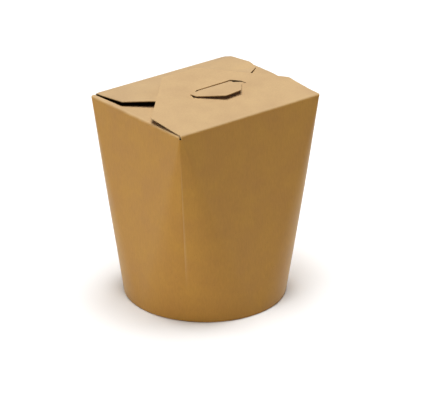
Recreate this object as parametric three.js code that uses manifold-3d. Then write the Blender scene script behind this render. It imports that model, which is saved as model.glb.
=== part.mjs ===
// Noodle takeaway box: a shut paperboard carton with a round base and a rectangular folded top.
// Millimetres, +Z up. The origin is the centre of the base, on the plane that the box stands on.
// The long top edges run along X. The front lock flap folds on the -Y edge, the rear one on +Y.
import * as THREE from 'three';
import { ConvexGeometry } from 'three/addons/geometries/ConvexGeometry.js';
import { mergeVertices } from 'three/addons/utils/BufferGeometryUtils.js';
import Module from 'manifold-3d';

const wasm = await Module();
wasm.setup();

// Driving dimensions of the carton.
const creaseHeight = 112; // floor to the creases of the two lock flaps
const topLength = 94; // outside the walls, along X
const topWidth = 75; // outside the walls, along Y
const baseDiameter = 88;
const board = 0.5; // thickness of the paperboard
const clearance = 0.3; // air between two pieces
const footDepth = 6; // floor to the underside of the base disc
const footThickness = 1.6; // wall, disc skirt and turned-in hem together
const circleSegments = 96;

// A crease is a rounded fold. Its lip stands on the wall and the panel runs inwards from it.
const creaseRadius = 0.8; // outside of the fold
const creaseSegments = 6;
const sideCreaseDrop = 0.6; // the side flaps fold this much lower, to lie under the lock flaps

// The front lock flap: a panel with cut-off corners and a slot. y is measured from its wall.
const front = {
  tilt: THREE.MathUtils.degToRad(6.0),
  sideInset: 0.9, // from the wall's end to the flap's side edge
  straightSide: 24.1, // where the 45 degree cut begins
  depth: 58.8, // to the free edge
};

// The rear lock flap: a panel with cut-off corners, whose tongue comes up through the slot.
const rear = {
  tilt: THREE.MathUtils.degToRad(5.7),
  sideInset: 3.0,
  straightSide: 23.2,
};

// The tongue and the slot share a centre line a little to the right of the carton's own.
// Their y is measured from the middle of the lid, and runs towards the front.
const lockOffset = 4.6;
const tongue = {
  neckHalfWidth: 11.5,
  shoulderStart: 2.2,
  shoulderEnd: 5.5,
  halfWidth: 16.6,
  sideEnd: 7.1,
  tipHalfWidth: 4.5,
  tip: 17.7,
  tipHeight: 4.2, // top of the tip above the crease
};
const slot = {
  back: 0.25,
  width: 1.9,
  halfLength: 17.2,
  cornerCut: 3.4,
  legEnd: 7.2,
  legWidth: 0.8,
};
const neckRun = 1.2; // how far the neck leans while it rises through the slot

// The side flaps lie under both lock flaps and show in the notches between them.
const side = {
  endInset: 0.9,
  depth: 32,
  innerHalfWidth: 24,
};

const cornerRadius = 1.2; // of the flaps' die-cut corners
const tongueCornerRadius = 0.7;
const cornerSegments = 4;
const overrun = 1; // how far a cut, or a board that is still to be cut, passes the edge

const halfLength = topLength / 2;
const halfWidth = topWidth / 2;
const baseRadius = baseDiameter / 2;
const step = board + clearance; // between the middles of two boards that lie on each other

// ---- helpers -------------------------------------------------------------------------------

function toManifold(geometry) {
  const bare = geometry.clone();
  bare.deleteAttribute('normal');
  bare.deleteAttribute('uv');
  const merged = mergeVertices(bare, 1e-5);
  return new wasm.Manifold(new wasm.Mesh({
    numProp: 3,
    vertProperties: new Float32Array(merged.attributes.position.array),
    triVerts: new Uint32Array(merged.index.array),
  }));
}

function toGeometry(solid) {
  const mesh = solid.getMesh();
  const geometry = new THREE.BufferGeometry();
  geometry.setAttribute('position', new THREE.BufferAttribute(mesh.vertProperties, 3));
  geometry.setIndex(new THREE.BufferAttribute(mesh.triVerts, 1));
  geometry.computeVertexNormals();
  return geometry;
}

// A closed outline whose corners are rounded by short curves.
function roundedOutline(points, radius) {
  const shape = new THREE.Shape();
  points.forEach((corner, i) => {
    const before = points[(i + points.length - 1) % points.length];
    const after = points[(i + 1) % points.length];
    const start = corner.clone().add(before.clone().sub(corner).setLength(radius));
    const end = corner.clone().add(after.clone().sub(corner).setLength(radius));
    if (i === 0) {
      shape.moveTo(start.x, start.y);
    } else {
      shape.lineTo(start.x, start.y);
    }
    shape.quadraticCurveTo(corner.x, corner.y, end.x, end.y);
  });
  shape.closePath();
  return shape;
}

// A prism over a plan outline, tall enough to pass through any flap.
function planPrism(shape) {
  const reach = 20;
  const geometry = new THREE.ExtrudeGeometry(shape, {
    depth: 2 * reach,
    bevelEnabled: false,
    curveSegments: cornerSegments,
  });
  geometry.translate(0, 0, -reach);
  return toManifold(geometry);
}

// A board of constant thickness that follows a line in the y-z plane, across the whole width x.
function foldedBoard(centreLine, width) {
  const line = centreLine.getPoints(creaseSegments);
  const outer = [];
  const inner = [];
  line.forEach((point, i) => {
    const before = line[Math.max(i - 1, 0)];
    const after = line[Math.min(i + 1, line.length - 1)];
    const into = point.clone().sub(before).normalize();
    const away = after.clone().sub(point).normalize();
    const along = into.clone().add(away).normalize();
    const mitre = 1 / Math.max(along.dot(i === 0 ? away : into), 0.5);
    const normal = new THREE.Vector2(-along.y, along.x).multiplyScalar(mitre * board / 2);
    outer.push(point.clone().add(normal));
    inner.unshift(point.clone().sub(normal));
  });
  const geometry = new THREE.ExtrudeGeometry(new THREE.Shape([...outer, ...inner]), {
    depth: width,
    bevelEnabled: false,
  });
  // The profile's own x and y become y and z, and the extrusion runs along x.
  geometry.translate(0, 0, -width / 2);
  const basis = new THREE.Matrix4().makeBasis(
    new THREE.Vector3(0, 1, 0),
    new THREE.Vector3(0, 0, 1),
    new THREE.Vector3(1, 0, 0),
  );
  geometry.applyMatrix4(basis);
  return toManifold(geometry);
}

// The line of a flap from the lip on its wall, round the crease, to where the panel starts.
function creaseLine(tilt) {
  const line = new THREE.Path();
  const radius = creaseRadius - board / 2;
  line.absarc(creaseRadius, -creaseRadius, radius, Math.PI, Math.PI / 2 + tilt, true);
  return line;
}

// ---- pieces --------------------------------------------------------------------------------

// The wall goes from the base circle to the top rectangle by four flat triangles and four
// slanted cones, which is the convex hull of the two outlines. The pack is shut, so it is solid.
function cartonWall() {
  const points = [];
  for (let i = 0; i < circleSegments; i += 1) {
    const angle = 2 * Math.PI * i / circleSegments;
    points.push(new THREE.Vector3(baseRadius * Math.cos(angle), baseRadius * Math.sin(angle), 0));
  }
  for (const x of [-halfLength, halfLength]) {
    for (const y of [-halfWidth, halfWidth]) {
      points.push(new THREE.Vector3(x, y, creaseHeight));
    }
  }
  const hull = toManifold(new ConvexGeometry(points));

  // The wall stops below the lips of the flaps, and lower still under the side flaps.
  const lockTop = creaseHeight - creaseRadius - clearance;
  const slabHeight = 10;
  const slab = new THREE.BoxGeometry(2 * topLength, 2 * topWidth, slabHeight);
  slab.translate(0, 0, lockTop + slabHeight / 2);
  const pocketDepth = topLength / 2 - side.depth - clearance;
  const pocketFloor = lockTop - sideCreaseDrop;
  const pocket = new THREE.BoxGeometry(
    topLength,
    topWidth - 2 * (side.endInset - clearance),
    slabHeight,
  );
  const pocketAt = (direction) => {
    const centre = direction * (pocketDepth + topLength / 2);
    return toManifold(pocket.clone().translate(centre, 0, pocketFloor + slabHeight / 2));
  };

  // The recess under the foot ends above the base disc.
  const recessRadius = baseRadius - footThickness;
  const recessTop = footDepth + step;
  const recessHeight = recessTop + overrun;
  const recess = new THREE.CylinderGeometry(
    recessRadius,
    recessRadius,
    recessHeight,
    circleSegments,
  );
  recess.rotateX(Math.PI / 2);
  recess.translate(0, 0, recessTop - recessHeight / 2);

  return toGeometry(
    hull
      .subtract(toManifold(slab))
      .subtract(pocketAt(-1))
      .subtract(pocketAt(1))
      .subtract(toManifold(recess)),
  );
}

function baseDisc() {
  const radius = baseRadius - footThickness - clearance;
  const disc = new THREE.CylinderGeometry(radius, radius, board, circleSegments);
  disc.rotateX(Math.PI / 2);
  return disc;
}

function sideFlap() {
  const hingeHalf = halfWidth - side.endInset;
  const line = creaseLine(0);
  line.lineTo(side.depth + overrun, -board / 2);
  const outline = roundedOutline([
    new THREE.Vector2(-hingeHalf, -overrun),
    new THREE.Vector2(hingeHalf, -overrun),
    new THREE.Vector2(side.innerHalfWidth, side.depth),
    new THREE.Vector2(-side.innerHalfWidth, side.depth),
  ], cornerRadius);
  return toGeometry(foldedBoard(line, topWidth).intersect(planPrism(outline)));
}

// The slot is a bar with a cut-off corner and a short leg at each end.
function slotPrism() {
  const y = (towardsFront) => halfWidth - towardsFront;
  const half = slot.halfLength;
  const inner = half - slot.legWidth;
  const nearEdge = slot.back + slot.width;
  const points = [];
  for (const direction of [1, -1]) {
    const arm = [
      [half - slot.cornerCut, slot.back],
      [half, slot.back + slot.cornerCut],
      [half, slot.legEnd],
      [inner, slot.legEnd],
      [inner, nearEdge + slot.cornerCut / 2],
      [inner - slot.cornerCut / 2, nearEdge],
    ].map(([x, towardsFront]) => new THREE.Vector2(lockOffset + direction * x, y(towardsFront)));
    points.push(...(direction === 1 ? arm : arm.reverse()));
  }
  return planPrism(new THREE.Shape(points));
}

function frontLockFlap() {
  const hingeHalf = halfLength - front.sideInset;
  const freeHalf = hingeHalf - (front.depth - front.straightSide);
  const line = creaseLine(front.tilt);
  const rise = Math.tan(front.tilt);
  line.lineTo(front.depth + overrun, rise * (front.depth + overrun) - board / 2);
  const outline = roundedOutline([
    new THREE.Vector2(-hingeHalf, -overrun),
    new THREE.Vector2(hingeHalf, -overrun),
    new THREE.Vector2(hingeHalf, front.straightSide),
    new THREE.Vector2(freeHalf, front.depth),
    new THREE.Vector2(-freeHalf, front.depth),
    new THREE.Vector2(-hingeHalf, front.straightSide),
  ], cornerRadius);
  const panel = foldedBoard(line, topLength).intersect(planPrism(outline));
  return toGeometry(panel.subtract(slotPrism()));
}

// The rear panel rises until it meets the front flap, runs on close under it, passes up through
// the slot and ends in the tongue, which lies on the front flap with its tip a little lifted.
function rearLockFlap() {
  const frontRise = Math.tan(front.tilt);
  const rearRise = Math.tan(rear.tilt);
  const frontMiddle = (y) => frontRise * (topWidth - y) - board / 2;
  const meet = (frontRise * topWidth - step) / (frontRise + rearRise);
  const slotMiddle = halfWidth + slot.back + slot.width / 2;
  const neckFoot = slotMiddle - neckRun / 2;
  const neckHead = slotMiddle + neckRun / 2;
  const tip = halfWidth + tongue.tip;

  const line = creaseLine(rear.tilt);
  line.lineTo(meet, rearRise * meet - board / 2);
  line.lineTo(neckFoot, frontMiddle(neckFoot) - step);
  line.lineTo(neckHead, frontMiddle(neckHead) + step);
  line.lineTo(tip + overrun, tongue.tipHeight - board / 2);

  const hingeHalf = halfLength - rear.sideInset;
  const panelEnd = neckFoot - board;
  const freeHalf = hingeHalf - (panelEnd - rear.straightSide);
  const panel = roundedOutline([
    new THREE.Vector2(-hingeHalf, -overrun),
    new THREE.Vector2(hingeHalf, -overrun),
    new THREE.Vector2(hingeHalf, rear.straightSide),
    new THREE.Vector2(freeHalf, panelEnd),
    new THREE.Vector2(-freeHalf, panelEnd),
    new THREE.Vector2(-hingeHalf, rear.straightSide),
  ], cornerRadius);
  // The flap is turned half round about Z, so the offset changes sign here. The neck's own end
  // lies inside the panel, past its rounded corners.
  const right = [
    [tongue.neckHalfWidth, -2 * cornerRadius],
    [tongue.neckHalfWidth, tongue.shoulderStart],
    [tongue.halfWidth, tongue.shoulderEnd],
    [tongue.halfWidth, tongue.sideEnd],
    [tongue.tipHalfWidth, tongue.tip],
  ];
  const left = right.map(([x, y]) => [-x, y]).reverse();
  const tongueOutline = roundedOutline(
    [...right, ...left].map(([x, y]) => new THREE.Vector2(x - lockOffset, halfWidth + y)),
    tongueCornerRadius,
  );
  const plan = planPrism(panel).add(planPrism(tongueOutline));
  return toGeometry(foldedBoard(line, topLength).intersect(plan));
}

// ---- the carton ----------------------------------------------------------------------------

const carton = new THREE.Group();

function addPiece(name, geometry, colour) {
  const material = new THREE.MeshStandardMaterial({ color: colour, roughness: 0.85, metalness: 0 });
  const mesh = new THREE.Mesh(geometry, material);
  mesh.name = name;
  carton.add(mesh);
  return mesh;
}

const sideCrease = creaseHeight - sideCreaseDrop;

addPiece('carton_wall', cartonWall(), 0xb48a4e);
addPiece('base_disc', baseDisc(), 0xa87e45).position.set(0, 0, footDepth + board / 2);

const leftFlap = addPiece('side_flap_left', sideFlap(), 0xcfa873);
leftFlap.position.set(-halfLength, 0, sideCrease);
leftFlap.rotation.z = -Math.PI / 2;

const rightFlap = addPiece('side_flap_right', sideFlap(), 0xcfa873);
rightFlap.position.set(halfLength, 0, sideCrease);
rightFlap.rotation.z = Math.PI / 2;

const rearFlap = addPiece('rear_lock_flap', rearLockFlap(), 0xd0a978);
rearFlap.position.set(0, halfWidth, creaseHeight);
rearFlap.rotation.z = Math.PI;

const frontFlap = addPiece('front_lock_flap', frontLockFlap(), 0xd8b485);
frontFlap.position.set(0, -halfWidth, creaseHeight);

export default carton;
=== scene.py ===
"""Noodle takeaway box: the looks of a shut kraft paperboard carton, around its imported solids.

The carton is made as the real one is: a sleeve that goes from a round foot to a rectangular top,
a disc let into the foot, and four lid flaps that are cut flat, folded at their creases and given
the board's thickness. Lengths are in metres.
"""
import math

import bmesh
import bpy
from mathutils import Matrix, Vector, noise
from mathutils.geometry import delaunay_2d_cdt


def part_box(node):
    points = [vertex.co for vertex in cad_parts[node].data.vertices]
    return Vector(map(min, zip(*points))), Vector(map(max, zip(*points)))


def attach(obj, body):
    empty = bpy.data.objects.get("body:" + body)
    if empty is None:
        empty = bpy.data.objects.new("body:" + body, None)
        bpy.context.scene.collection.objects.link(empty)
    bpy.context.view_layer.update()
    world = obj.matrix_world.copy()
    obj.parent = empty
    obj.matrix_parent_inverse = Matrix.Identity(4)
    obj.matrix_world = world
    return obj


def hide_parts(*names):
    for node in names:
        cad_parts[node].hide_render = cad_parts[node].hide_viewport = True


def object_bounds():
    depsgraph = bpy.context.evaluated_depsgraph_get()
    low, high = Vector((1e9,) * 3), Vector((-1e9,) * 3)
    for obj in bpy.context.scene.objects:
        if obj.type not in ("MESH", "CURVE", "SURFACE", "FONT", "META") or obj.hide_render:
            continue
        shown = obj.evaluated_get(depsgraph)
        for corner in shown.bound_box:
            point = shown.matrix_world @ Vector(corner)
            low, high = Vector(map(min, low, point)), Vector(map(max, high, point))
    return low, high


bl_info = {
    "name": "Noodle takeaway box",
    "version": (1, 0, 0),
    "blender": (4, 5, 0),
    "location": "View3D > Sidebar > Carton",
    "description": "Builds a shut kraft paperboard noodle box around its packed solids",
    "category": "Object",
}

MM = 0.001

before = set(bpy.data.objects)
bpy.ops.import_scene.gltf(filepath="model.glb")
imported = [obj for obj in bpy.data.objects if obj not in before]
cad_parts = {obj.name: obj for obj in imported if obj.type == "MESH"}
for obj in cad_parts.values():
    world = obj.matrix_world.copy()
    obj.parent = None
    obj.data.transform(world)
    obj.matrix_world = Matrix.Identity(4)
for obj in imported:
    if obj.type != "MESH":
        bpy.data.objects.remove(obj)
CAD_LOW, CAD_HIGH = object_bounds()
DISC_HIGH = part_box("base_disc")[1]


def linear(hex_colour):
    """An sRGB hex colour, such as "#C49A6C", as linear red, green and blue."""
    channels = [int(hex_colour[i:i + 2], 16) / 255 for i in (1, 3, 5)]
    return tuple(c / 12.92 if c <= 0.04045 else ((c + 0.055) / 1.055) ** 2.4 for c in channels)


# ---- what a user would change ----------------------------------


def length(name, description, metres):
    return bpy.props.FloatProperty(
        name=name, description=description, default=metres, precision=5,
        subtype="DISTANCE", unit="LENGTH",
    )


def angle(name, description, degrees):
    return bpy.props.FloatProperty(
        name=name, description=description, default=math.radians(degrees),
        subtype="ANGLE", unit="ROTATION",
    )


def colour(name, description, hex_colour):
    return bpy.props.FloatVectorProperty(
        name=name, description=description, default=linear(hex_colour),
        subtype="COLOR", size=3, min=0, max=1,
    )


class CartonSizes(bpy.types.PropertyGroup):
    board: length("Board", "Thickness of the paperboard", 0.45 * MM)
    top_length: length("Top length", "Outside the walls, along X", CAD_HIGH[0] - CAD_LOW[0])
    top_width: length("Top width", "Outside the walls, along Y", 75 * MM)
    crease_height: length("Crease height", "Floor to the creases of the lock flaps", 112 * MM)
    foot_radius: length("Foot radius", "Outside of the round foot", CAD_HIGH[1])
    sleeve_drop: length("Sleeve drop", "From the creases down to the sleeve's own top", 2.2 * MM)
    corner_radius: length("Corner radius", "Of the sleeve's four corners, at the creases", 0.4 * MM)
    foot_fold: length("Foot fold", "Outer radius of the fold at the foot", 0.8 * MM)
    hem_height: length("Hem height", "Floor to the cut edge of the turned-in hem", 7.0 * MM)
    seam_angle: angle("Seam angle", "Where the glued seam meets the foot, from +X", 218.5)
    seam_lift: length("Seam lift", "How far the outer ply's edge stands off at the seam", 0.12 * MM)
    seam_crease: length("Seam crease", "How far the crease along the seam stands out", 0.8 * MM)
    bulge: length("Bulge", "How far the walls bow outwards halfway up", 0.4 * MM)
    waviness: length("Waviness", "How far the board wanders from a true surface", 0.12 * MM)
    lock_fold: length("Lock fold", "Outer radius of the lock flaps' folds", 1.25 * MM)
    side_fold: length("Side fold", "Outer radius of the side flaps' folds", 1.3 * MM)
    side_drop: length("Side drop", "How much lower the side flaps fold", 0.55 * MM)
    front_tilt: angle("Front tilt", "Rise of the front lock flap", 5.9)
    rear_tilt: angle("Rear tilt", "Rise of the rear lock flap", 5.7)
    lock_offset: length("Lock offset", "Tongue and slot, right of the carton's middle", 4.6 * MM)
    tip_height: length("Tip height", "Top of the tongue's tip above the creases", 4.7 * MM)
    tongue_twist: length("Tongue twist", "How much higher the tongue's right side is", 0.3 * MM)


class CartonColours(bpy.types.PropertyGroup):
    # One board painted two ways: the lid's paler colour and the wall's darker one are painted light,
    # the flaps lit from above and the walls in shade.
    wall: colour("Wall", "Kraft face of the sleeve", "#B88A41")
    lid: colour("Lid", "Kraft face of the flaps", "#BC9F77")
    core: colour("Core", "Cut edge of the board", "#BFA47C")
    floor: colour("Floor", "Pale floor", "#F7F7F7")


# ---- nodes and materials ---------------------------------------


def add(tree, kind, inputs=(), **settings):
    """Adds a node with its settings. Its inputs are given in order or by name, each as a value,
    a socket, or a node, whose first live output is then linked. None leaves an input alone."""
    node = tree.nodes.new(kind)
    for name, value in settings.items():
        setattr(node, name, value)
    live = [socket for socket in node.inputs if socket.enabled]
    for key, value in (inputs.items() if isinstance(inputs, dict) else enumerate(inputs)):
        socket = live[key] if isinstance(key, int) else node.inputs[key]
        if isinstance(value, bpy.types.Node):
            value = [output for output in value.outputs if output.enabled][0]
        if isinstance(value, bpy.types.NodeSocket):
            tree.links.new(value, socket)
        elif value is not None:
            socket.default_value = value
    return node


def new_material(name):
    """An empty material, and its node tree."""
    material = bpy.data.materials.new(name)
    material.use_nodes = True
    material.node_tree.nodes.clear()
    return material, material.node_tree


# The board's patterns, at their real sizes unless a comment says otherwise.
BLOTCH_WIDTH = 14 * MM  # clouds where the pulp lies thicker
FIBRE_WIDTH = 0.8 * MM  # real fibres are 0.03 mm wide, and are drawn coarser so that they show
FIBRE_SQUEEZE = 0.25  # in height, so that the fibres on a wall stand four times as long as wide
SPECK_SPACING = 2.5 * MM
SPECK_CORE, SPECK_EDGE = 0.06, 0.13  # of the spacing: a speck fades between them
SPECK_STRENGTH = 0.18
CORE_GRAIN = 0.6 * MM  # torn fibre ends along a cut edge
CORE_DARKER, CORE_LIGHTER = 0.82, 1.05  # of the core's own colour
RELIEF = 0.05 * MM
NOISE_LOW, NOISE_HIGH = 0.3, 0.7  # nearly all of a noise's values lie between these
DARKER, LIGHTER = 0.96, 1.04  # of the board's own colour
HUE_LOW, HUE_HIGH = 0.498, 0.502  # 0.5 leaves the hue alone
SMOOTHEST, ROUGHEST = 0.56, 0.68
BARK = "#7A5228"
# pale bare fibre, which also serves as a painted highlight on folds and along the seam's edge
BARE_FIBRE_AND_HIGHLIGHT = "#D3BC94"


def kraft_board(name):
    """Kraft paperboard, unbleached and calendered: matte, with soft blotches and fine fibres.

    The mesh says where it is lid, which is painted paler than the wall: the two colours are painted
    light, the lid lit from above and the wall in shade. It also says how far bare fibre shows, at the
    folds and along the seam, where it is partly a painted highlight."""
    colours = bpy.context.scene.carton_colours
    material, tree = new_material(name)
    place = add(tree, "ShaderNodeTexCoord").outputs["Object"]

    # Clouds of pulp, with finer mottling inside them.
    blotch = add(tree, "ShaderNodeTexNoise", {
        "Vector": place, "Scale": 1 / BLOTCH_WIDTH, "Detail": 3.0, "Roughness": 0.55,
    })
    stretched = add(tree, "ShaderNodeMapping", {
        "Vector": place, "Scale": (1.0, 1.0, FIBRE_SQUEEZE),
    })
    fibre = add(tree, "ShaderNodeTexNoise", {
        "Vector": stretched, "Scale": 1 / FIBRE_WIDTH, "Detail": 2.0, "Roughness": 0.6,
    })
    # Faint specks of bark.
    speck = add(tree, "ShaderNodeTexVoronoi", {"Vector": place, "Scale": 1 / SPECK_SPACING})
    speck_share = add(tree, "ShaderNodeMapRange", [
        speck.outputs["Distance"], SPECK_CORE, SPECK_EDGE, SPECK_STRENGTH, 0.0,
    ])

    # Lid and wall colours mixed: painted light, the lid's paler colour standing for the light from
    # above that the walls turn from.
    painted_lid_light = add(tree, "ShaderNodeAttribute", attribute_name="lid").outputs["Fac"]
    face = add(tree, "ShaderNodeMix", [
        painted_lid_light, tuple(colours.wall) + (1,), tuple(colours.lid) + (1,),
    ], data_type="RGBA")
    cloud_level = add(tree, "ShaderNodeMapRange", [
        blotch.outputs["Fac"], NOISE_LOW, NOISE_HIGH, DARKER, LIGHTER,
    ])
    fibre_level = add(tree, "ShaderNodeMapRange", [
        fibre.outputs["Fac"], NOISE_LOW, NOISE_HIGH, DARKER, LIGHTER,
    ])
    level = add(tree, "ShaderNodeMath", [cloud_level, fibre_level], operation="MULTIPLY")
    clouded = add(tree, "ShaderNodeVectorMath", [face, level], operation="SCALE")
    # The hue wanders a little with the clouds.
    hue = add(tree, "ShaderNodeMapRange", [
        blotch.outputs["Fac"], NOISE_LOW, NOISE_HIGH, HUE_LOW, HUE_HIGH,
    ])
    tinted = add(tree, "ShaderNodeHueSaturation", {"Color": clouded, "Hue": hue})
    specked = add(tree, "ShaderNodeMix", [speck_share, tinted, linear(BARK) + (1,)],
                  data_type="RGBA")
    # Bare fibre, partly real wear and partly a painted highlight along the folds and the seam's edge.
    worn = add(tree, "ShaderNodeAttribute", attribute_name="worn").outputs["Fac"]
    finished = add(tree, "ShaderNodeMix", [worn, specked, linear(BARE_FIBRE_AND_HIGHLIGHT) + (1,)],
                   data_type="RGBA")

    relief = add(tree, "ShaderNodeMath", [fibre.outputs["Fac"], blotch.outputs["Fac"]],
                 operation="ADD")
    bump = add(tree, "ShaderNodeBump", {
        "Height": relief, "Strength": 0.25, "Distance": RELIEF,
    })
    roughness = add(tree, "ShaderNodeMapRange", [
        blotch.outputs["Fac"], NOISE_LOW, NOISE_HIGH, SMOOTHEST, ROUGHEST,
    ])
    surface = add(tree, "ShaderNodeBsdfPrincipled", {
        "Base Color": finished, "Roughness": roughness, "Normal": bump,
        "IOR": 1.5, "Specular IOR Level": 0.3, "Sheen Weight": 0.35, "Sheen Roughness": 0.4,
    })
    add(tree, "ShaderNodeOutputMaterial", [surface])
    return material


def cut_core(name):
    """The cut edge of paperboard, die-cut: bare fibre, paler and rougher than the faces."""
    core = tuple(bpy.context.scene.carton_colours.core)
    material, tree = new_material(name)
    place = add(tree, "ShaderNodeTexCoord").outputs["Object"]
    grain = add(tree, "ShaderNodeTexNoise", {
        "Vector": place, "Scale": 1 / CORE_GRAIN, "Detail": 2.0,
    })
    level = add(tree, "ShaderNodeMapRange", [
        grain.outputs["Fac"], NOISE_LOW, NOISE_HIGH, CORE_DARKER, CORE_LIGHTER,
    ])
    grained = add(tree, "ShaderNodeVectorMath", [core, level], operation="SCALE")
    surface = add(tree, "ShaderNodeBsdfPrincipled", {
        "Base Color": grained, "Roughness": 0.9, "IOR": 1.5, "Specular IOR Level": 0.2,
    })
    add(tree, "ShaderNodeOutputMaterial", [surface])
    return material


def painted_floor(name):
    """A matte white studio floor, painted: even, with next to no reflection."""
    pale = tuple(bpy.context.scene.carton_colours.floor)
    material, tree = new_material(name)
    surface = add(tree, "ShaderNodeBsdfPrincipled", {
        "Base Color": pale + (1,), "Roughness": 0.9, "Specular IOR Level": 0.1,
    })
    add(tree, "ShaderNodeOutputMaterial", [surface])
    return material


MATERIAL_MAKERS = {
    "kraft_paperboard_calendered": kraft_board,
    "paperboard_core_die_cut": cut_core,
    "studio_floor_matte": painted_floor,
}
BOARD_MATERIALS = ("kraft_paperboard_calendered", "paperboard_core_die_cut")


def get_material(name):
    """Makes each material once."""
    return bpy.data.materials.get(name) or MATERIAL_MAKERS[name](name)


# ---- mesh helpers ----------------------------------------------

SHARP_ANGLE = math.radians(38)


def new_object(name, mesh, materials=BOARD_MATERIALS):
    piece = bpy.data.objects.new(name, mesh)
    bpy.context.scene.collection.objects.link(piece)
    for material in materials:
        mesh.materials.append(get_material(material))
    return piece


def bake(piece):
    """Turns a piece's modifiers into its mesh."""
    bpy.context.view_layer.update()
    depsgraph = bpy.context.evaluated_depsgraph_get()
    mesh = bpy.data.meshes.new_from_object(
        piece.evaluated_get(depsgraph), preserve_all_data_layers=True, depsgraph=depsgraph,
    )
    piece.modifiers.clear()
    old = piece.data
    piece.data = mesh
    bpy.data.meshes.remove(old)
    mesh.name = piece.name
    shade(mesh)


def shade(mesh):
    mesh.shade_smooth()
    mesh.set_sharp_from_angle(angle=SHARP_ANGLE)


def place_piece(piece, slot, *nodes):
    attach(piece, "root")
    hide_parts(*nodes)


def smooth_share(value, low, high):
    """0 below low, 1 above high, and a smooth rise between them."""
    share = min(max((value - low) / (high - low), 0), 1)
    return share * share * (3 - 2 * share)


# ---- the sleeve ------------------------------------------------

QUARTERS = 4
COLUMNS_PER_CORNER = 28
COLUMNS_PER_EDGE = 16
COLUMNS_PER_QUARTER = COLUMNS_PER_CORNER + COLUMNS_PER_EDGE
OVERLAP_COLUMNS = 4
FADE_COLUMNS = 8
EDGE_STRIP = 0.35  # of a column: the narrow strip along the seam's outer edge
LIFTED_COLUMNS = 4
STRIP_WEAR_AND_HIGHLIGHT = 0.3  # how far bare fibre, partly a painted highlight, shows along that edge
SLEEVE_COLUMNS = QUARTERS * COLUMNS_PER_QUARTER + OVERLAP_COLUMNS + 2
CORNER_SHARE = COLUMNS_PER_CORNER / COLUMNS_PER_QUARTER

# Pairs of heights off the floor between which something changes.
PLIES_PART = (20 * MM, 50 * MM)  # the plies of the seam are pressed together below
PRESSED_DIP = 0.25
SEAM_OPENS = (18 * MM, 45 * MM)
SEAM_SHUTS = (104 * MM, 84 * MM)
CREASE_RISES = (35 * MM, 80 * MM)
FOOT_WANDERS = (1 * MM, 25 * MM)
TOP_WANDERS = (0.98, 0.85)  # as shares of the crease height
WIDEST_CREASE = math.radians(34)
WAVE_WIDTH = 45 * MM


def sleeve_profile(sizes):
    """The board's section: x is its depth inside the outer face, z its height off the floor.

    It runs down the outer face, round the fold at the foot, up the hem that is turned in, over
    the hem's cut edge, and up the inner face to the top."""
    top = sizes.crease_height - sizes.sleeve_drop
    fold = sizes.foot_fold
    wall_rows = 30
    fold_rows = 10
    over_hem = 0.5 * MM
    points = [(0, top + (fold - top) * i / wall_rows) for i in range(wall_rows)]
    for i in range(fold_rows + 1):
        turn = math.pi * i / fold_rows
        points.append((fold - fold * math.cos(turn), fold - fold * math.sin(turn)))
    hem_back = 2 * fold - sizes.board
    points.append((2 * fold, sizes.hem_height))
    points.append((hem_back, sizes.hem_height))
    points.append((sizes.board, sizes.hem_height + over_hem))
    for i in range(1, wall_rows + 1):
        points.append((sizes.board, sizes.hem_height + (top - sizes.hem_height) * i / wall_rows))
    return points


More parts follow.
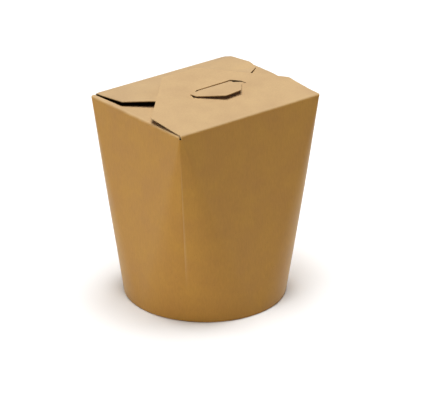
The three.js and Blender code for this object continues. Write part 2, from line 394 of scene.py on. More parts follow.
def sleeve_tree():
    """Lofts the section from the foot's circle to the top's rectangle.

    Each column of the grid joins the point of the circle that faces one way to the point of the
    rectangle that faces the same way. So the walls are flat triangles that stand on a point of
    the foot, and the corners between them are slanted cones. The columns begin at the seam, and
    the last of them slide under the first, one board deeper."""
    tree = bpy.data.node_groups.new("Sleeve loft", "GeometryNodeTree")
    for name, kind in (
        ("Section", "Object"), ("Foot Radius", "Float"), ("Half Length", "Float"),
        ("Half Width", "Float"), ("Corner Radius", "Float"), ("Crease Height", "Float"),
        ("Board", "Float"), ("Seam Quarter", "Float"), ("Seam Lift", "Float"),
        ("Seam Crease", "Float"), ("Bulge", "Float"), ("Waviness", "Float"),
        ("Rows", "Int"), ("Columns", "Int"), ("Material", "Material"),
    ):
        tree.interface.new_socket(name, in_out="INPUT", socket_type=f"NodeSocket{kind}")
    tree.interface.new_socket("Geometry", in_out="OUTPUT", socket_type="NodeSocketGeometry")
    given = add(tree, "NodeGroupInput").outputs

    # Which column and row of the grid a point is.
    grid = add(tree, "GeometryNodeMeshGrid", [1.0, 1.0, given["Columns"], given["Rows"]])
    index = add(tree, "GeometryNodeInputIndex")
    ratio = add(tree, "ShaderNodeMath", [index, given["Rows"]], operation="DIVIDE")
    number = add(tree, "ShaderNodeMath", [ratio], operation="FLOOR")
    row = add(tree, "ShaderNodeMath", [index, given["Rows"]], operation="FLOORED_MODULO")

    # The first two columns are the narrow strip along the seam's outer edge.
    column = add(tree, "ShaderNodeMath", [
        add(tree, "ShaderNodeMath", [number, 1.0], operation="SUBTRACT"),
        add(tree, "ShaderNodeMath", [number, EDGE_STRIP], operation="MULTIPLY"),
    ], operation="MAXIMUM")

    # How far round it is, in quarter turns, and which way it faces.
    turns = add(tree, "ShaderNodeMath", [column, 1 / COLUMNS_PER_QUARTER, given["Seam Quarter"]],
                operation="MULTIPLY_ADD")
    quarter = add(tree, "ShaderNodeMath", [turns], operation="FLOOR")
    within = add(tree, "ShaderNodeMath", [turns], operation="FRACT")
    turned = add(tree, "ShaderNodeMapRange", [within, 0.0, CORNER_SHARE, 0.0, 1.0])
    moved = add(tree, "ShaderNodeMapRange", [within, CORNER_SHARE, 1.0, 0.0, 1.0])
    faced = add(tree, "ShaderNodeMath", [quarter, turned], operation="ADD")
    bearing = add(tree, "ShaderNodeMath", [faced, math.pi / 2], operation="MULTIPLY")
    outward = add(tree, "ShaderNodeCombineXYZ", [
        add(tree, "ShaderNodeMath", [bearing], operation="COSINE"),
        add(tree, "ShaderNodeMath", [bearing], operation="SINE"),
    ])

    # The top point slides from this quarter's corner to the next one's along a flat wall.
    inset_length = add(tree, "ShaderNodeMath", [given["Half Length"], given["Corner Radius"]],
                       operation="SUBTRACT")
    inset_width = add(tree, "ShaderNodeMath", [given["Half Width"], given["Corner Radius"]],
                      operation="SUBTRACT")
    half = add(tree, "ShaderNodeCombineXYZ", [inset_length, inset_width])
    corners = []
    for ahead in (0.5, 1.5):
        diagonal = add(tree, "ShaderNodeMath", [quarter, math.pi / 2, ahead * math.pi / 2],
                       operation="MULTIPLY_ADD")
        towards = add(tree, "ShaderNodeCombineXYZ", [
            add(tree, "ShaderNodeMath", [diagonal], operation="COSINE"),
            add(tree, "ShaderNodeMath", [diagonal], operation="SINE"),
        ])
        signs = add(tree, "ShaderNodeVectorMath", [towards], operation="SIGN")
        corners.append(add(tree, "ShaderNodeVectorMath", [signs, half], operation="MULTIPLY"))
    corner = add(tree, "ShaderNodeMix", [moved, *corners], data_type="VECTOR")
    rounding = add(tree, "ShaderNodeVectorMath", [outward, given["Corner Radius"]],
                   operation="SCALE")
    top_point = add(tree, "ShaderNodeVectorMath", [corner, rounding], operation="ADD")
    foot_point = add(tree, "ShaderNodeVectorMath", [outward, given["Foot Radius"]],
                     operation="SCALE")

    # The row's depth and height come from the section.
    section = add(tree, "GeometryNodeObjectInfo", [given["Section"]])
    sampled = add(tree, "GeometryNodeSampleIndex", [
        section.outputs["Geometry"], add(tree, "GeometryNodeInputPosition"), row,
    ], data_type="FLOAT_VECTOR", domain="POINT")
    depth_height = add(tree, "ShaderNodeSeparateXYZ", [sampled]).outputs
    height = depth_height["Z"]
    rise = add(tree, "ShaderNodeMath", [height, given["Crease Height"]], operation="DIVIDE")
    upright = add(tree, "ShaderNodeMix", [rise, foot_point, top_point], data_type="VECTOR")

    # The under ply dips by one board before the seam, and less near the pressed foot.
    last = QUARTERS * COLUMNS_PER_QUARTER
    dipped = add(tree, "ShaderNodeMapRange", [column, last - FADE_COLUMNS, last, 0.0, 1.0],
                 interpolation_type="SMOOTHSTEP")
    pressed = add(tree, "ShaderNodeMapRange", [height, *PLIES_PART, PRESSED_DIP, 1.0],
                  interpolation_type="SMOOTHSTEP")
    ply = add(tree, "ShaderNodeMath", [dipped, pressed], operation="MULTIPLY")
    dip = add(tree, "ShaderNodeMath", [ply, given["Board"]], operation="MULTIPLY")

    # The outer ply's edge stands off a little, and bare fibre shows along it, partly wear and partly a
    # painted highlight.
    at_edge = add(tree, "ShaderNodeMapRange", [column, 0.0, LIFTED_COLUMNS, 1.0, 0.0],
                  interpolation_type="SMOOTHSTEP")
    above_foot = add(tree, "ShaderNodeMapRange", [height, *SEAM_OPENS, 0.0, 1.0],
                     interpolation_type="SMOOTHSTEP")
    below_top = add(tree, "ShaderNodeMapRange", [height, *SEAM_SHUTS, 0.0, 1.0],
                    interpolation_type="SMOOTHSTEP")
    open_seam = add(tree, "ShaderNodeMath", [above_foot, below_top], operation="MULTIPLY")
    lifted = add(tree, "ShaderNodeMath", [at_edge, open_seam], operation="MULTIPLY")
    lift = add(tree, "ShaderNodeMath", [lifted, given["Seam Lift"]], operation="MULTIPLY")
    in_strip = add(tree, "ShaderNodeMapRange", [column, 0.0, 2 * EDGE_STRIP, STRIP_WEAR_AND_HIGHLIGHT, 0.0])
    worn = add(tree, "ShaderNodeMath", [in_strip, open_seam], operation="MULTIPLY")

    # The corner is creased along the seam. Beside the crease the wall is flat: it leaves the cone,
    # whose radius is reach, along a tangent, and stands outside it by reach * turn ** 2 / 2.
    reach = add(tree, "ShaderNodeMapRange", [
        rise, 0.0, 1.0, given["Foot Radius"], given["Corner Radius"],
    ])
    creased = add(tree, "ShaderNodeMapRange", [height, *CREASE_RISES, 0.0, 2.0],
                  interpolation_type="SMOOTHSTEP")
    doubled = add(tree, "ShaderNodeMath", [given["Seam Crease"], creased], operation="MULTIPLY")
    whole = add(tree, "ShaderNodeMath", [
        add(tree, "ShaderNodeMath", [
            add(tree, "ShaderNodeMath", [doubled, reach], operation="DIVIDE"),
        ], operation="SQRT"),
        WIDEST_CREASE,
    ], operation="MINIMUM")
    apart = add(tree, "ShaderNodeMath", [column, last / 2], operation="PINGPONG")
    remaining = add(tree, "ShaderNodeMath", [
        apart, -math.pi / 2 / COLUMNS_PER_CORNER, whole,
    ], operation="MULTIPLY_ADD")
    turn = add(tree, "ShaderNodeMath", [remaining, 0.0], operation="MAXIMUM")
    squared = add(tree, "ShaderNodeMath", [turn, turn], operation="MULTIPLY")
    outside = add(tree, "ShaderNodeMath", [squared, reach], operation="MULTIPLY")
    ridge = add(tree, "ShaderNodeMath", [outside, 0.5], operation="MULTIPLY")

    # The walls bow outwards between the foot and the creases.
    bow = add(tree, "ShaderNodeMath", [
        add(tree, "ShaderNodeMath", [rise, math.pi], operation="MULTIPLY"),
    ], operation="SINE")
    bulged = add(tree, "ShaderNodeMath", [bow, given["Bulge"], ridge], operation="MULTIPLY_ADD")

    # The board wanders a little, but not at the foot nor at the creases.
    off_foot = add(tree, "ShaderNodeMapRange", [height, *FOOT_WANDERS, 0.0, 1.0],
                   interpolation_type="SMOOTHSTEP")
    off_top = add(tree, "ShaderNodeMapRange", [rise, *TOP_WANDERS, 0.0, 1.0],
                  interpolation_type="SMOOTHSTEP")
    free = add(tree, "ShaderNodeMath", [off_foot, off_top], operation="MULTIPLY")
    cloud = add(tree, "ShaderNodeTexNoise", [upright, 1 / WAVE_WIDTH, 1.0])
    swing = add(tree, "ShaderNodeMapRange", [cloud.outputs["Fac"], NOISE_LOW, NOISE_HIGH, -1.0, 1.0])
    share = add(tree, "ShaderNodeMath", [free, swing], operation="MULTIPLY")
    raised = add(tree, "ShaderNodeMath", [lift, bulged], operation="ADD")
    ply_depth = add(tree, "ShaderNodeMath", [dip, raised], operation="SUBTRACT")
    dip_depth = add(tree, "ShaderNodeMath", [depth_height["X"], ply_depth], operation="ADD")
    depth = add(tree, "ShaderNodeMath", [share, given["Waviness"], dip_depth],
                operation="MULTIPLY_ADD")
    inset = add(tree, "ShaderNodeVectorMath", [outward, depth], operation="SCALE")
    plan = add(tree, "ShaderNodeVectorMath", [upright, inset], operation="SUBTRACT")
    position = add(tree, "ShaderNodeVectorMath", [
        plan, add(tree, "ShaderNodeCombineXYZ", {"Z": height}),
    ], operation="ADD")

    shaped = add(tree, "GeometryNodeSetPosition", {
        "Geometry": grid.outputs["Mesh"], "Position": position,
    })
    marked = add(tree, "GeometryNodeStoreNamedAttribute", {
        "Geometry": shaped, "Name": "worn", "Value": worn,
    }, data_type="FLOAT", domain="POINT")
    real = add(tree, "GeometryNodeRealizeInstances", {"Geometry": marked})
    coloured = add(tree, "GeometryNodeSetMaterial", {
        "Geometry": real, "Material": given["Material"],
    })
    add(tree, "NodeGroupOutput", [coloured])
    return tree


def close_sleeve(mesh):
    """Closes the loft into one solid sheet: the top edge, and the two cut edges at the seam."""
    shell = bmesh.new()
    shell.from_mesh(mesh)
    old_faces = set(shell.faces)
    rows = len(shell.verts) // SLEEVE_COLUMNS
    shell.verts.ensure_lookup_table()
    for i in range(SLEEVE_COLUMNS - 1):
        outer, inner = i * rows, i * rows + rows - 1
        shell.faces.new([shell.verts[k] for k in (outer, outer + rows, inner + rows, inner)])
    for first in (0, (SLEEVE_COLUMNS - 1) * rows):
        shell.faces.new([shell.verts[first + k] for k in range(rows)])
    cuts = [face for face in shell.faces if face not in old_faces]
    for face in cuts:
        face.material_index = 1
    bmesh.ops.triangulate(shell, faces=[face for face in cuts if len(face.verts) > 4])
    bmesh.ops.recalc_face_normals(shell, faces=shell.faces)
    shell.to_mesh(mesh)
    shell.free()
    shade(mesh)


def build_sleeve(sizes):
    section = sleeve_profile(sizes)
    line = bpy.data.meshes.new("sleeve_section")
    line.from_pydata(
        [(x, 0, z) for x, z in section], [(i, i + 1) for i in range(len(section) - 1)], [],
    )
    guide = bpy.data.objects.new("sleeve_section", line)
    bpy.context.scene.collection.objects.link(guide)

    piece = new_object("sleeve", bpy.data.meshes.new("sleeve"))
    tree = sleeve_tree()
    modifier = piece.modifiers.new("Sleeve loft", "NODES")
    modifier.node_group = tree
    # The seam starts on a column, so that the flat walls begin and end on one too.
    seam_turns = sizes.seam_angle / (math.pi / 2)
    seam_column = round((seam_turns % 1) * COLUMNS_PER_CORNER)
    values = {
        "Section": guide,
        "Foot Radius": sizes.foot_radius,
        "Half Length": sizes.top_length / 2,
        "Half Width": sizes.top_width / 2,
        "Corner Radius": sizes.corner_radius,
        "Crease Height": sizes.crease_height,
        "Board": sizes.board,
        "Seam Quarter": math.floor(seam_turns) + seam_column / COLUMNS_PER_QUARTER,
        "Seam Lift": sizes.seam_lift,
        "Seam Crease": sizes.seam_crease,
        "Bulge": sizes.bulge,
        "Waviness": sizes.waviness,
        "Rows": len(section),
        "Columns": SLEEVE_COLUMNS,
        "Material": get_material(BOARD_MATERIALS[0]),
    }
    for item in tree.interface.items_tree:
        if item.in_out == "INPUT":
            modifier[item.identifier] = values[item.name]
    bake(piece)
    bpy.data.objects.remove(guide)
    bpy.data.meshes.remove(line)
    for material in BOARD_MATERIALS[len(piece.data.materials):]:
        piece.data.materials.append(get_material(material))
    close_sleeve(piece.data)
    return piece


# ---- the base disc ---------------------------------------------

DISC_RINGS = 14
DISC_SIDES = 96


def build_base_disc(sizes):
    """The disc let into the foot, with its rim turned down between the wall and the hem."""
    radius = DISC_HIGH[0]
    top = DISC_HIGH[2]
    rim_radius = 1.2 * MM
    rim_drop = 1.6 * MM
    dish = 0.12 * MM
    unevenness = 0.05 * MM
    flat = radius - rim_radius
    rim_steps = 6
    section = []
    for i in range(1, DISC_RINGS + 1):
        share = i / DISC_RINGS
        section.append((flat * share, top - dish * (1 - share ** 2)))
    for i in range(1, rim_steps + 1):
        turn = math.pi / 2 * i / rim_steps
        section.append((
            flat + rim_radius * math.sin(turn), top - rim_radius * (1 - math.cos(turn)),
        ))
    section.append((radius, top - rim_drop))

    disc = bmesh.new()
    middle = disc.verts.new((0, 0, top - dish))
    rings = []
    for reach, z in section:
        ring = []
        for k in range(DISC_SIDES):
            turn = 2 * math.pi * k / DISC_SIDES
            x, y = reach * math.cos(turn), reach * math.sin(turn)
            uneven = ripple(x, y, 0.5, unevenness)
            ring.append(disc.verts.new((x, y, z + uneven - unevenness)))
        rings.append(ring)
    for k in range(DISC_SIDES):
        after = (k + 1) % DISC_SIDES
        disc.faces.new((middle, rings[0][k], rings[0][after]))
        for inner, outer in zip(rings, rings[1:]):
            disc.faces.new((inner[k], outer[k], outer[after], inner[after]))
    mesh = bpy.data.meshes.new("base_disc_board")
    bmesh.ops.recalc_face_normals(disc, faces=disc.faces)
    disc.to_mesh(mesh)
    disc.free()
    piece = new_object("base_disc_board", mesh)
    solid = piece.modifiers.new("Board", "SOLIDIFY")
    solid.thickness = sizes.board
    solid.offset = -1
    solid.material_offset_rim = 1
    bake(piece)
    return piece


# ---- the flaps -------------------------------------------------

PANEL_GRID = 2.5 * MM
ARC_STEPS = 10
SAME_POINT = 0.005 * MM
CUT_ROUNDING = 0.7 * MM  # of a cut corner
STIFF_STRIP = 6 * MM  # from the fold to where a panel is free to lift
LOCK_SINK = 0.1 * MM  # how far a lock flap lies below its fold line, for its ripples
RIPPLE_TURNS = 28  # per metre
WEAR_TURNS = 180  # per metre, along a fold
WEAR_AND_HIGHLIGHT = 0.35  # how far bare fibre, partly a painted highlight, shows on a fold's ridge, where it is most rubbed


def fold_line(points, radii):
    """The line that a board's outer face follows across its creases, as (distance, y, z).

    The points are the corners of the line in its hinge frame and the radii round them off. The
    distance is measured along the sharp-cornered line, and is 0 at the second point, the hinge."""
    corners = [Vector(point) for point in points]
    line = [(-(corners[1] - corners[0]).length, *corners[0])]
    distance = 0
    for before, here, after, radius in zip(corners, corners[1:], corners[2:], radii):
        if before is not corners[0]:
            distance += (here - before).length
        into = (here - before).normalized()
        away = (after - here).normalized()
        bend = into.angle(away)
        reach = radius * math.tan(bend / 2)
        side = 1 if into.cross(away) > 0 else -1
        start = here - into * reach
        centre = start + Vector((-into.y, into.x)) * radius * side
        for step in range(ARC_STEPS + 1):
            share = step / ARC_STEPS
            turned = Matrix.Rotation(side * bend * share, 2) @ (start - centre)
            line.append((distance + reach * (2 * share - 1), *(centre + turned)))
    distance += (corners[-1] - corners[-2]).length
    line.append((distance, *corners[-1]))
    return line


def along(line, distance):
    """The point (y, z) of a fold line at a distance along it."""
    for (s0, y0, z0), (s1, y1, z1) in zip(line, line[1:]):
        if distance <= s1 or s1 == line[-1][0]:
            share = (distance - s0) / (s1 - s0)
            return Vector((y0 + (y1 - y0) * share, z0 + (z1 - z0) * share))


def facing(line, distance):
    """The direction (y, z) that the board's outer face looks in at a distance along its line."""
    near = 0.05 * MM
    run = along(line, distance + near) - along(line, distance - near)
    return Vector((-run.y, run.x)).normalized()


def unfolded(line, y):
    """The distance along a fold line at which its panel has come inwards by y."""
    for (s0, y0, _), (s1, y1, _) in zip(line, line[1:]):
        if s1 > 0 and y <= y1:
            return s0 + (s1 - s0) * (y - y0) / (y1 - y0)
    return line[-1][0]


def rounded(points, radius):
    """A closed outline with its corners rounded by short curves."""
    curve_steps = 5
    most = 0.45  # of a side that one corner may take
    outline = []
    for i, corner in enumerate(points):
        before = points[i - 1] - corner
        after = points[(i + 1) % len(points)] - corner
        reach = min(radius, before.length * most, after.length * most)
        start = corner + before.normalized() * reach
        end = corner + after.normalized() * reach
        for step in range(curve_steps + 1):
            share = step / curve_steps
            outline.append(start.lerp(corner, share).lerp(corner.lerp(end, share), share))
    return outline


def inside(point, outline):
    """Whether a point lies within a closed outline."""
    crossings = 0
    for a, b in zip(outline, outline[1:] + outline[:1]):
        if (a.y > point.y) != (b.y > point.y):
            if point.x < a.x + (b.x - a.x) * (point.y - a.y) / (b.y - a.y):
                crossings += 1
    return crossings % 2 == 1


def divided(outline):
    """An outline with its long sides divided as finely as the panel's grid."""
    points = []
    for a, b in zip(outline, outline[1:] + outline[:1]):
        steps = max(1, math.ceil((b - a).length / PANEL_GRID))
        points += [a.lerp(b, i / steps) for i in range(steps)]
    return points


def cut_blank(line, outline, holes):
    """A flat flap, cut to its outline less its holes: triangles over an even grid of points.

    The grid has a row of points at each step of the folds, so that the flap bends smoothly."""
    borders = [divided(border) for border in (outline, *holes)]

    def on_board(point):
        return inside(point, borders[0]) and not any(inside(point, b) for b in borders[1:])

    points = []
    edges = []
    for border in borders:
        first = len(points)
        points += border
        edges += [(first + i, first + (i + 1) % len(border)) for i in range(len(border))]
    low_x = min(p.x for p in outline)
    high_x = max(p.x for p in outline)
    columns = math.ceil((high_x - low_x) / PANEL_GRID)
    rows = [line[0][0]]
    for (s0, _, _), (s1, _, _) in zip(line, line[1:]):
        steps = max(1, math.ceil((s1 - s0) / PANEL_GRID))
        rows += [s0 + (s1 - s0) * (i + 1) / steps for i in range(steps)]
    for s in rows:
        for i in range(1, columns):
            point = Vector((low_x + (high_x - low_x) * i / columns, s))
            if on_board(point):
                points.append(point)
    corners, _, triangles, *_ = delaunay_2d_cdt(points, edges, [], 0, SAME_POINT, False)
    kept = [t for t in triangles if on_board(sum((corners[i] for i in t), Vector((0, 0))) / 3)]
    used = sorted({i for triangle in kept for i in triangle})
    number = {old: new for new, old in enumerate(used)}
    return [corners[i] for i in used], [[number[i] for i in triangle] for triangle in kept]


def build_flap(name, hinge, turn, line, outline, holes, board, lift, crown=lambda x: 0):
    """Cuts a flap, folds it along its line, gives it the board's thickness and hangs it.

    hinge is the middle of the crease and turn the flap's turn about Z. lift is how far a point
    (x, y) of the panel is raised, and crown how far the crease bulges up at x. The mesh tells
    the material where it is lid, whose paler colour is painted light from above, and where bare
    fibre and a painted highlight show on the fold's ridge."""
    corners, triangles = cut_blank(line, outline, holes)
    place = Matrix.Translation(hinge) @ Matrix.Rotation(turn, 4, "Z")
    foot, arc_start, arc_end = line[0][0], line[1][0], line[ARC_STEPS + 1][0]
    flap = bmesh.new()
    lid = flap.verts.layers.float.new("lid")
    worn = flap.verts.layers.float.new("worn")
    faces = []
    for depth in (0, board):
        sheet = []
        for corner in corners:
            spot = along(line, corner.y)
            free = smooth_share(corner.y, arc_end, arc_end + STIFF_STRIP)
            raised = crown(corner.x) * smooth_share(corner.y, foot, arc_end)
            raised += free * lift(corner.x, spot.x)
            y, z = spot - facing(line, corner.y) * depth
            vert = flap.verts.new(place @ Vector((corner.x, y, z + raised)))
            # The lid's paler colour fades in over the fold: painted light, the lit top above the fold
            # and the shaded wall below.
            vert[lid] = smooth_share(corner.y, arc_start, arc_end * 0.5)
            # Bare fibre on the fold's ridge, partly wear and partly a painted highlight.
            ridge = max(0, 1 - abs(corner.y) / arc_end)
            patch = 0.5 + 0.5 * noise.noise(Vector((corner.x * WEAR_TURNS, turn, 0.3)))
            vert[worn] = WEAR_AND_HIGHLIGHT * ridge * patch
            sheet.append(vert)
        faces.append(sheet)
    top, under = faces
    borders = set()
    for a, b, c in triangles:
        flap.faces.new((top[a], top[b], top[c]))
        flap.faces.new((under[c], under[b], under[a]))
        for edge in ((a, b), (b, c), (c, a)):
            if edge[::-1] in borders:
                borders.remove(edge[::-1])
            else:
                borders.add(edge)
    for a, b in sorted(borders):
        flap.faces.new((top[a], under[a], under[b], top[b])).material_index = 1
    mesh = bpy.data.meshes.new(name)
    flap.to_mesh(mesh)
    flap.free()
    shade(mesh)
    return new_object(name, mesh)


def ripple(x, y, seed, height):
    """The gentle unevenness of a board that has been folded and handled."""
    return height * noise.noise(Vector((x * RIPPLE_TURNS, y * RIPPLE_TURNS, seed)))


def wall_lean(sizes, across):
    """How far a flat wall leans inwards for each metre that it rises."""
    return (sizes.foot_radius - across) / sizes.crease_height


def plan_outline(line, lip, plan):
    """A flap's blank: its lip on the wall, from end to end, and then its plan, unfolded.

    The lip's ends and the plan (x, y) are in millimetres."""
    corners = [Vector((x * MM, line[0][0])) for x in lip]
    return corners + [Vector((x * MM, unfolded(line, y * MM))) for x, y in plan]


class CARTON_OT_sleeve(bpy.types.Operator):
    """Build the sleeve: the wall with its folded foot, hem and glued seam"""

    bl_idname = "carton.sleeve"
    bl_label = "Sleeve"

    def execute(self, context):
        piece = build_sleeve(context.scene.carton_sizes)
        place_piece(piece, "kraft_wall", "carton_wall")
        return {"FINISHED"}


class CARTON_OT_base_disc(bpy.types.Operator):
    """Build the disc that closes the foot"""

    bl_idname = "carton.base_disc"
    bl_label = "Base disc"

    def execute(self, context):
        piece = build_base_disc(context.scene.carton_sizes)
        place_piece(piece, "kraft_base", "base_disc")
        return {"FINISHED"}


# The plans below are in millimetres, and a lip is given by its two ends along the wall.

# The right side flap, x towards the rear and y inwards. It is cut back under the lock flaps'
# edges, so that it only fills the notch between them. The left one has its plan mirrored.
SIDE_LIP = (-36.8, 36.6)
SIDE_PLAN = (
    (37.3, 0.2), (37.2, 2.2), (15.2, 3.0), (-2.0, 24.0), (-11.0, 24.0), (-14.5, 3.0), (-36.2, 1.2),
)
NOTCH_MIDDLE = 9 * MM  # along the same x
NOTCH_FADES = (8 * MM, 26 * MM)  # from its middle: where the crease's spring fades out


class CARTON_OT_side_flaps(bpy.types.Operator):
    """Build the two side flaps, which lie under the lock flaps"""

    bl_idname = "carton.side_flaps"
    bl_label = "Side flaps"

    def execute(self, context):
        sizes = context.scene.carton_sizes
        lean = wall_lean(sizes, sizes.top_length / 2)
        lip = sizes.sleeve_drop - sizes.side_drop
        wall = sizes.top_length / 2 - lean * sizes.side_drop
        crease = sizes.crease_height - sizes.side_drop
        reach = 30 * MM
        unevenness = 0.1 * MM
        # Nothing holds a side flap down in the notch, so its crease springs up there.
        for name, side, spring, rise in (
            ("left", -1, 0.15 * MM, 0.2 * MM), ("right", 1, 1.65 * MM, 1.0 * MM),
        ):
            line = fold_line([(-lean * lip, -lip), (0, 0), (reach, rise)], [sizes.side_fold])
            outline = plan_outline(line, SIDE_LIP, SIDE_PLAN)
            hand = outline if side > 0 else [Vector((-p.x, p.y)) for p in reversed(outline)]

            def lift(x, y):
                return ripple(x, y, side, unevenness) - unevenness / 2

            def crown(x):
                off_middle = abs(side * x - NOTCH_MIDDLE)
                return spring * (1 - smooth_share(off_middle, *NOTCH_FADES))

            piece = build_flap(
                f"side_flap_{name}_board", (side * wall, 0, crease), side * math.pi / 2, line,
                rounded(hand, CUT_ROUNDING), [], sizes.board, lift, crown,
            )
            place_piece(piece, "kraft_flap", f"side_flap_{name}")
        return {"FINISHED"}


# The front lock flap, x to the right and y inwards.
FRONT_LIP = (-46.2, 46.2)
FRONT_PLAN = ((46.9, 0.2), (46.6, 24.1), (11.5, 58.8), (-11.9, 58.8), (-46.6, 24.1))
# Its right edge droops, more and more over DROOP_STARTS in x, and less over DROOP_ENDS in y.
DROOP = 0.35 * MM
DROOP_STARTS = (28 * MM, 46 * MM)
DROOP_ENDS = (18 * MM, 28 * MM)

# The slot, measured from the lock's centre: x to the right, and y towards the rear.
SLOT_PLAN = (
    (-17.9, -6.9), (-17.3, -4.4), (-10.8, -0.2), (12.8, 0.4), (17.0, -3.6), (17.7, -6.9),
    (17.2, -6.9), (16.2, -4.5), (12.6, -4.2), (10.8, -2.8), (-10.4, -2.4), (-16.5, -5.1),
    (-17.2, -6.9),
)


class CARTON_OT_front_flap(bpy.types.Operator):
    """Build the front lock flap with the slot"""

    bl_idname = "carton.front_flap"
    bl_label = "Front lock flap"

    def execute(self, context):
        sizes = context.scene.carton_sizes
        lean = wall_lean(sizes, sizes.top_width / 2)
        lip = sizes.sleeve_drop
        reach = 62 * MM
        unevenness = 0.15 * MM
        line = fold_line(
            [(-lean * lip, -lip), (0, 0), (reach, reach * math.tan(sizes.front_tilt))],
            [sizes.lock_fold],
        )
        outline = plan_outline(line, FRONT_LIP, FRONT_PLAN)
        middle = sizes.top_width / 2
        slot = [
            Vector((sizes.lock_offset + x * MM, unfolded(line, middle + y * MM)))
            for x, y in SLOT_PLAN
        ]

        def lift(x, y):
            droop = DROOP * smooth_share(x, *DROOP_STARTS) * (1 - smooth_share(y, *DROOP_ENDS))
            return ripple(x, y, 7.3, unevenness) - LOCK_SINK - droop

        piece = build_flap(
            "front_lock_flap_board", (0, -middle, sizes.crease_height), 0, line,
            rounded(outline, CUT_ROUNDING), [slot], sizes.board, lift,
        )
        place_piece(piece, "kraft_flap", "front_lock_flap")
        return {"FINISHED"}


def rear_line(sizes):
    """Up to the front flap, close under it, up through the slot, and out over it as the tongue."""
    lean = wall_lean(sizes, sizes.top_width / 2)
    lip = sizes.sleeve_drop
    width = sizes.top_width
    front_rise = math.tan(sizes.front_tilt)
    rear_rise = math.tan(sizes.rear_tilt)
    # The rear flap's face lies this far under the front flap's, the board and a gap.
    under = sizes.board + 0.35 * MM
    over = 0.15 * MM
    meet = (front_rise * width - under) / (front_rise + rear_rise)
    foot = width / 2 + 0.45 * MM
    head = width / 2 + 1.25 * MM
    crest = width / 2 + 2.6 * MM
    tip = width / 2 + 19 * MM
    points = [
        (-lean * lip, -lip),
        (0, 0),
        (meet, rear_rise * meet),
        (foot, front_rise * (width - foot) - under),
        (head, front_rise * (width - head) + over),
        (crest, front_rise * (width - crest) + sizes.board + over),
        (tip, sizes.tip_height),
    ]
    radii = [0.5 * sizes.lock_fold, 12 * MM, 0.4 * MM, 0.5 * MM, 4 * MM]
    return fold_line(points, radii)


# The tongue, measured from the lock's centre: x to the right, and y towards the front.
TONGUE_PLAN = (
    (11.0, 0.1), (11.1, 4.2), (14.4, 6.7), (6.3, 16.2), (-4.4, 17.2), (-16.8, 7.6),
    (-17.4, 3.0), (-10.2, 1.6), (-10.2, 0.1),
)
# The rear lock flap on either side of its tongue. The flap is turned half round, so here x runs
# to the left, and y inwards.
REAR_LIP = (-44.0, 44.0)
REAR_LEFT = ((44.0, 23.2), (30.6, 36.6))
REAR_RIGHT = ((-30.4, 37.2), (-34.0, 34.0), (-43.6, 27.2))
# Its right edge curls up along its middle, and turns down at its corner.
CURL = 1.2 * MM
CURL_STARTS = (25 * MM, 44 * MM)
CURL_ENDS = (22 * MM, 27 * MM)
CURL_TURNS_DOWN = 1.6
TWIST_STARTS = 1 * MM  # past the carton's middle
TWIST_REACH = 16 * MM  # past the middle, and off the lock's centre, where the twist is whole


class CARTON_OT_rear_flap(bpy.types.Operator):
    """Build the rear lock flap with the tongue"""

    bl_idname = "carton.rear_flap"
    bl_label = "Rear lock flap"

    def execute(self, context):
        sizes = context.scene.carton_sizes
        line = rear_line(sizes)
        middle = sizes.top_width / 2
        centre = -sizes.lock_offset
        unevenness = 0.12 * MM
        tongue = [(centre / MM - x, middle / MM + y) for x, y in TONGUE_PLAN]
        outline = plan_outline(line, REAR_LIP, [*REAR_LEFT, *reversed(tongue), *REAR_RIGHT])

        def lift(x, y):
            on_tongue = smooth_share(y, middle + TWIST_STARTS, middle + TWIST_REACH)
            twist = sizes.tongue_twist * (centre - x) / TWIST_REACH * on_tongue
            curl = smooth_share(-x, *CURL_STARTS)
            curl *= 1 - CURL_TURNS_DOWN * smooth_share(y, *CURL_ENDS)
            return ripple(x, y, 2.1, unevenness) - LOCK_SINK + twist + CURL * curl

        piece = build_flap(
            "rear_lock_flap_board", (0, middle, sizes.crease_height), math.pi, line,
            rounded(outline, CUT_ROUNDING), [], sizes.board, lift,
        )
        place_piece(piece, "kraft_flap", "rear_lock_flap")
        return {"FINISHED"}


# ---- the stage -------------------------------------------------


FLOOR_HALF = 0.85
WALL_GLOW = 0.04  # the light that the studio's far walls give the carton
# Each lamp's name, place, aim, size and power. All are white.
LAMPS = (
    ("overhead_softbox", (0, 0, 1.8), (0, 0, 0.06), (1.2, 1.2), 37.0),
    ("left_softbox", (-1.1, 0, 0.22), (0, 0, 0.05), (0.8, 0.5), 3.0),
    ("right_softbox", (1.1, 0.1, 0.22), (0, 0, 0.05), (0.8, 0.5), 2.4),
)
CAMERA_AZIMUTH = math.radians(-39.23)
CAMERA_ELEVATION = math.radians(23.67)
CAMERA_ROLL = -0.0016
CAMERA_DISTANCE = 1.3414
CAMERA_LENS = 210.4  # millimetres, on a sensor 36 mm wide
AIM_RIGHT = 5.23 * MM
AIM_DOWN = 5.17 * MM


def area_light(name, place, aim, size, power):
    data = bpy.data.lights.new(name, "AREA")
    data.shape = "RECTANGLE"
    data.size = size[0]
    data.size_y = size[1]
    data.energy = power
    lamp = bpy.data.objects.new(name, data)
    lamp.location = place
    lamp.rotation_euler = (Vector(aim) - Vector(place)).to_track_quat("-Z", "Y").to_euler()
    bpy.context.scene.collection.objects.link(lamp)


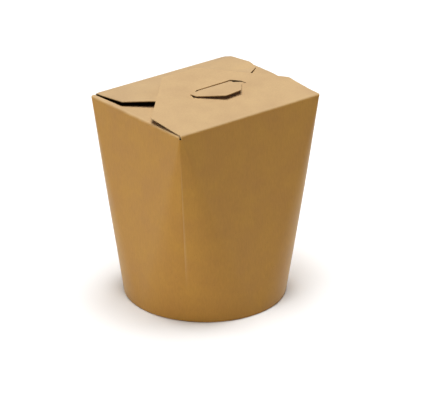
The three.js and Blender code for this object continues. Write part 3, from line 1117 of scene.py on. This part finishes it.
class CARTON_OT_stage(bpy.types.Operator):
    """Build the pale floor, the soft studio light and the camera"""

    bl_idname = "carton.stage"
    bl_label = "Stage"

    def execute(self, context):
        scene = context.scene
        mesh = bpy.data.meshes.new("floor")
        corners = [(x * FLOOR_HALF, y * FLOOR_HALF, 0) for x, y in ((-1, -1), (1, -1), (1, 1), (-1, 1))]
        mesh.from_pydata(corners, [], [(0, 1, 2, 3)])
        floor = new_object("floor", mesh, ["studio_floor_matte"])

        world = bpy.data.worlds.new("studio")
        world.use_nodes = True
        # The studio's walls are white to the camera, but too far away to light the carton.
        tree = world.node_tree
        tree.nodes.clear()
        seen = add(tree, "ShaderNodeLightPath").outputs["Is Camera Ray"]
        strength = add(tree, "ShaderNodeMapRange", [seen, 0.0, 1.0, WALL_GLOW, 1.0])
        background = add(tree, "ShaderNodeBackground", [(1, 1, 1, 1), strength])
        add(tree, "ShaderNodeOutputWorld", [background])
        scene.world = world
        for lamp in LAMPS:
            area_light(*lamp)
        scene.view_settings.view_transform = "Standard"
        scene.view_settings.look = "Medium High Contrast"

        # The camera looks down on the carton's front left corner.
        back = Vector((
            math.sin(CAMERA_AZIMUTH) * math.cos(CAMERA_ELEVATION),
            -math.cos(CAMERA_AZIMUTH) * math.cos(CAMERA_ELEVATION),
            math.sin(CAMERA_ELEVATION),
        ))
        right = Vector((math.cos(CAMERA_AZIMUTH), math.sin(CAMERA_AZIMUTH), 0))
        up = back.cross(right)
        middle = Vector((0, 0, scene.carton_sizes.crease_height / 2))
        place = middle + back * CAMERA_DISTANCE
        aim = middle + right * AIM_RIGHT - up * AIM_DOWN
        forward = (aim - place).normalized()
        side = forward.cross(up).normalized()
        roll = Matrix.Rotation(CAMERA_ROLL, 3, forward)
        data = bpy.data.cameras.new("camera")
        data.sensor_width = 36
        data.lens = CAMERA_LENS
        data.clip_end = 20
        camera = bpy.data.objects.new("camera", data)
        axes = Matrix((side, side.cross(forward), -forward)).transposed()
        camera.matrix_world = Matrix.Translation(place) @ (roll @ axes).to_4x4()
        scene.collection.objects.link(camera)
        scene.camera = camera
        return {"FINISHED"}


# ---- the add-on ------------------------------------------------

OPERATORS = (
    CARTON_OT_stage,
    CARTON_OT_sleeve,
    CARTON_OT_base_disc,
    CARTON_OT_side_flaps,
    CARTON_OT_rear_flap,
    CARTON_OT_front_flap,
)


class CARTON_PT_panel(bpy.types.Panel):
    """Lists the carton's pieces"""

    bl_idname = "CARTON_PT_panel"
    bl_label = "Carton"
    bl_space_type = "VIEW_3D"
    bl_region_type = "UI"
    bl_category = "Carton"

    def draw(self, context):
        column = self.layout.column()
        for group in (context.scene.carton_sizes, context.scene.carton_colours):
            for name in group.bl_rna.properties.keys():
                if name not in ("rna_type", "name"):
                    column.prop(group, name)
        for operator in OPERATORS:
            column.operator(operator.bl_idname)


CLASSES = (CartonSizes, CartonColours, *OPERATORS, CARTON_PT_panel)


def register():
    for one_class in CLASSES:
        bpy.utils.register_class(one_class)
    bpy.types.Scene.carton_sizes = bpy.props.PointerProperty(type=CartonSizes)
    bpy.types.Scene.carton_colours = bpy.props.PointerProperty(type=CartonColours)


def unregister():
    del bpy.types.Scene.carton_colours
    del bpy.types.Scene.carton_sizes
    for one_class in reversed(CLASSES):
        bpy.utils.unregister_class(one_class)


def main():
    register()
    bpy.ops.carton.stage()
    bpy.ops.carton.sleeve()
    bpy.ops.carton.base_disc()
    bpy.ops.carton.side_flaps()
    bpy.ops.carton.rear_flap()
    bpy.ops.carton.front_flap()


if __name__ == "__main__":
    main()
